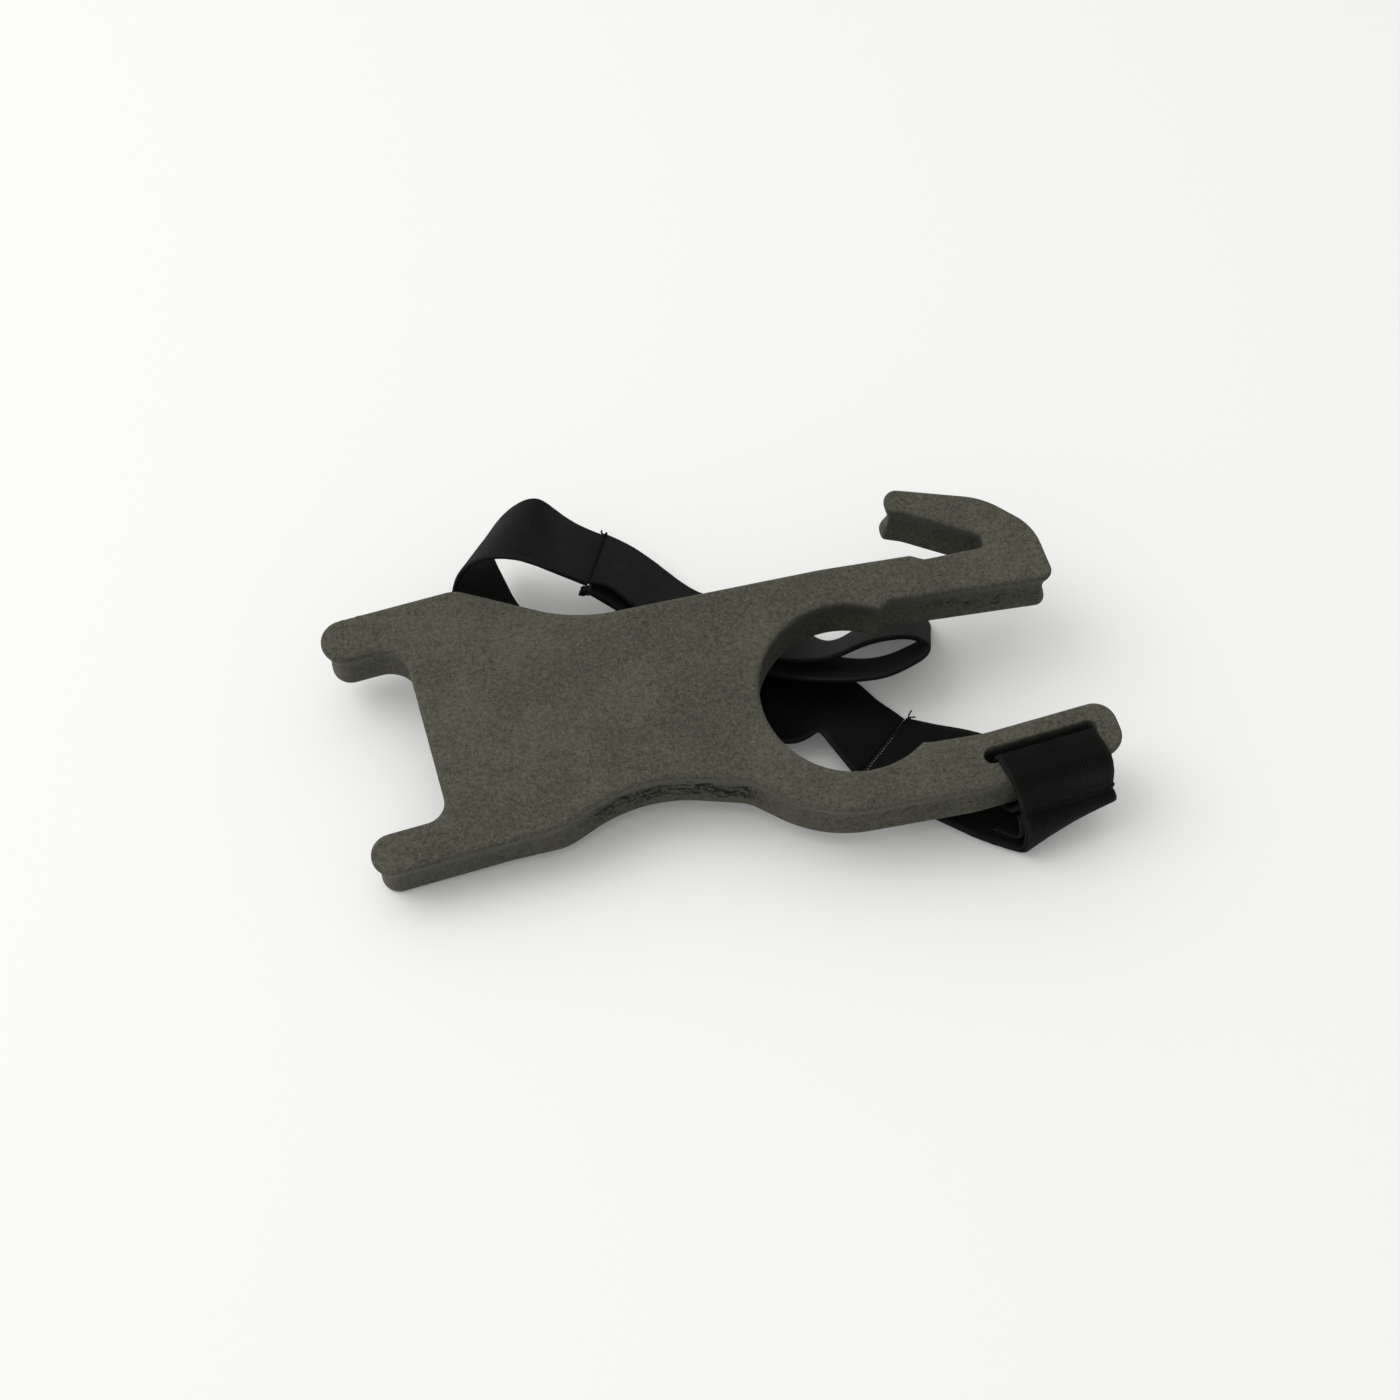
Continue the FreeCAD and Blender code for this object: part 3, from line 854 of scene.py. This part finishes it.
def seam_fold():
    near, far = seam_ends
    loop_ends = zip(ANCHOR_STATIONS[0], ANCHOR_STATIONS[-1])
    top = [(to_row(a, from_plate) + to_row(b, from_plate)) / 2.0 for a, b in loop_ends]
    low = [to_row(point, from_floor) for point in DOUBLED_STATIONS[0]]
    below = [to_row(point, from_floor) for point in DOUBLED_STATIONS[1]]
    rise = [(t - n) * FOLD_OVERRUN + n for t, n in zip(top, (near, far))]
    stations = [rise, top, low, below]

    def in_row(point):
        return Vector(point) * MM

    piece, _ = webbing("web_anchor_seam", stations, in_row, step=0.3, wave=0.0, thickness=FOLD_THICKNESS)
    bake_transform(piece)


seam_fold()

# Rows of stitches
up = (0.0, 0.0, 1.0)
near, far = (to_row(p, from_floor) for p in DOUBLED_STATIONS[-1])
back = to_row(DOUBLED_STATIONS[-2][0], from_floor) - near
back = 0.5 * back / np.linalg.norm(back)
middle_parts = stitch_row(near + back, far + back, up, 1.33)
# The middle row uses the thread with painted sheen.
middle_row = thread_piece("stitches_middle", middle_parts, THREAD_PAINTED_SHEEN)
tail_root = far + back + np.array((0.0, 0.0, 1.1))
tails = knot(tail_root, 0.45, [
    [(0.0, 0.0, 0.0), (0.1, 0.4, 0.9), (0.3, 0.5, 1.9), (0.7, 0.6, 2.6)],
    [(0.0, 0.0, 0.0), (0.6, 0.1, 0.4), (1.2, -0.1, 0.5), (1.7, -0.1, 0.3)],
], radius=0.2)
middle_knot = thread_piece("stitches_middle_tail", tails, THREAD_DARK)

near, far = (to_row(p, from_floor) for p in SINGLE_STATIONS[-1])
hook_parts = stitch_row(near, far, (0.25, -0.3, 1.0), 0.64)
hook_row = thread_piece("stitches_hook_loop", hook_parts, THREAD_DARK)
lump = near + np.array((-0.9, -0.7, -1.1))
knots = knot(lump, 1.0, [
    [(0.0, 0.0, 0.0), (-0.8, -0.5, -0.3), (-1.5, -0.9, 0.2)],
    [(0.0, 0.0, 0.0), (0.5, -0.8, -0.5), (1.3, -1.1, -0.3)],
], radius=0.32)
knots += knot(lump + np.array((-0.5, 0.2, -0.2)), 0.9, [], radius=0.34)
knots += knot(far + np.array((-0.1, 0.2, 0.5)), 0.7, [
    [(0.0, 0.0, 0.0), (-0.5, 0.4, 0.5), (-0.3, 0.9, 0.9)],
], radius=0.24)
hook_knots = thread_piece("stitches_hook_loop_tails", knots, THREAD_DARK)

near, far = (to_row(p, from_plate) for p in ANCHOR_STATIONS[0])
inset = np.array((0.0, 0.0, SEAM_INSET))
anchor_parts = stitch_row(near + inset, far + inset, (0.0, -1.0, -0.3), 0.78)
anchor_row = thread_piece("stitches_anchor", anchor_parts, THREAD_DARK)
anchor_tails = knot(far + np.array((0.1, -0.6, 0.6)), 0.3, [
    [(0.0, 0.0, 0.0), (-0.9, -0.6, -1.0), (-1.5, -0.7, -2.2), (-1.2, -0.7, -3.1)],
])
anchor_tail = thread_piece("stitches_anchor_tail", anchor_tails, THREAD_DARK)

for piece, body, cad_node in (
    (middle_row, "strap", "middle_seam_stitches"),
    (middle_knot, "strap", "middle_seam_stitches"),
    (hook_row, "strap", "hook_loop_seam_stitches"),
    (hook_knots, "strap", "hook_loop_seam_stitches"),
    (anchor_row, "plate", "anchor_seam_stitches"),
    (anchor_tail, "plate", "anchor_seam_stitches"),
):
    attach(piece, body)
    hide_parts(cad_node)

# ----------------------------------------------------------- floor and light

REACH = 6.0
FLOOR_GLOW = 0.08
floor_mesh = bpy.data.meshes.new("floor")
floor_corners = [(-REACH, -REACH, 0.0), (REACH, -REACH, 0.0), (REACH, REACH, 0.0), (-REACH, REACH, 0.0)]
floor_mesh.from_pydata(floor_corners, [], [(0, 1, 2, 3)])
floor = bpy.data.objects.new("floor", floor_mesh)
bpy.context.scene.collection.objects.link(floor)
floor_material, _, floor_shader = new_material("floor")
floor_shader.inputs["Base Color"].default_value = (0.745, 0.745, 0.738, 1.0)
floor_shader.inputs["Emission Color"].default_value = (1.0, 1.0, 0.99, 1.0)
floor_shader.inputs["Emission Strength"].default_value = FLOOR_GLOW
floor_shader.inputs["Roughness"].default_value = 0.9
floor_shader.inputs["Specular IOR Level"].default_value = 0.1
floor_mesh.materials.append(floor_material)


def area_light(name, place, target, size, power):
    lamp = bpy.data.lights.new(name, "AREA")
    lamp.shape = "DISK"
    lamp.size = size
    lamp.energy = power
    holder = bpy.data.objects.new(name, lamp)
    holder.location = place
    aim = Vector(target) - Vector(place)
    holder.rotation_euler = aim.to_track_quat("-Z", "Y").to_euler()
    bpy.context.scene.collection.objects.link(holder)


KEY_PLACE = (-0.8, 0.3, 1.2)
KEY_SIZE = 1.0
KEY_POWER = 6.5
area_light("key", KEY_PLACE, (0.0, 0.0, 0.0), KEY_SIZE, KEY_POWER)


def studio_world():
    """A broad overhead glow, strongest behind and to the left."""
    world = bpy.data.worlds.new("studio")
    world.use_nodes = True
    tree = world.node_tree
    direction = node(tree, "ShaderNodeTexCoord").outputs["Generated"]
    aim = Vector(GLOW_AIM).normalized()
    inputs = {0: direction, 1: tuple(aim)}
    facing = node(tree, "ShaderNodeVectorMath", inputs, operation="DOT_PRODUCT").outputs["Value"]
    glow = math_node(tree, "POWER", math_node(tree, "MAXIMUM", facing, 0.0), 2.0)
    glow = math_node(tree, "MULTIPLY", glow, GLOW_STRENGTH)
    strength = math_node(tree, "ADD", glow, AMBIENT_STRENGTH)
    backdrop = tree.nodes["Background"]
    backdrop.inputs[0].default_value = (1.0, 1.0, 0.99, 1.0)
    tree.links.new(strength, backdrop.inputs[1])
    bpy.context.scene.world = world


GLOW_AIM = (-0.42, 0.25, 0.87)
GLOW_STRENGTH = 1.25
AMBIENT_STRENGTH = 0.38
studio_world()
bpy.context.scene.view_settings.view_transform = "Standard"

camera_data = bpy.data.cameras.new("camera")
camera_data.lens = CAMERA_LENS
camera_data.sensor_width = CAMERA_SENSOR
camera = bpy.data.objects.new("camera", camera_data)
camera.location = CAMERA_PLACE
camera.rotation_euler = [math.radians(a) for a in CAMERA_TURN]
bpy.context.scene.collection.objects.link(camera)
bpy.context.scene.camera = camera
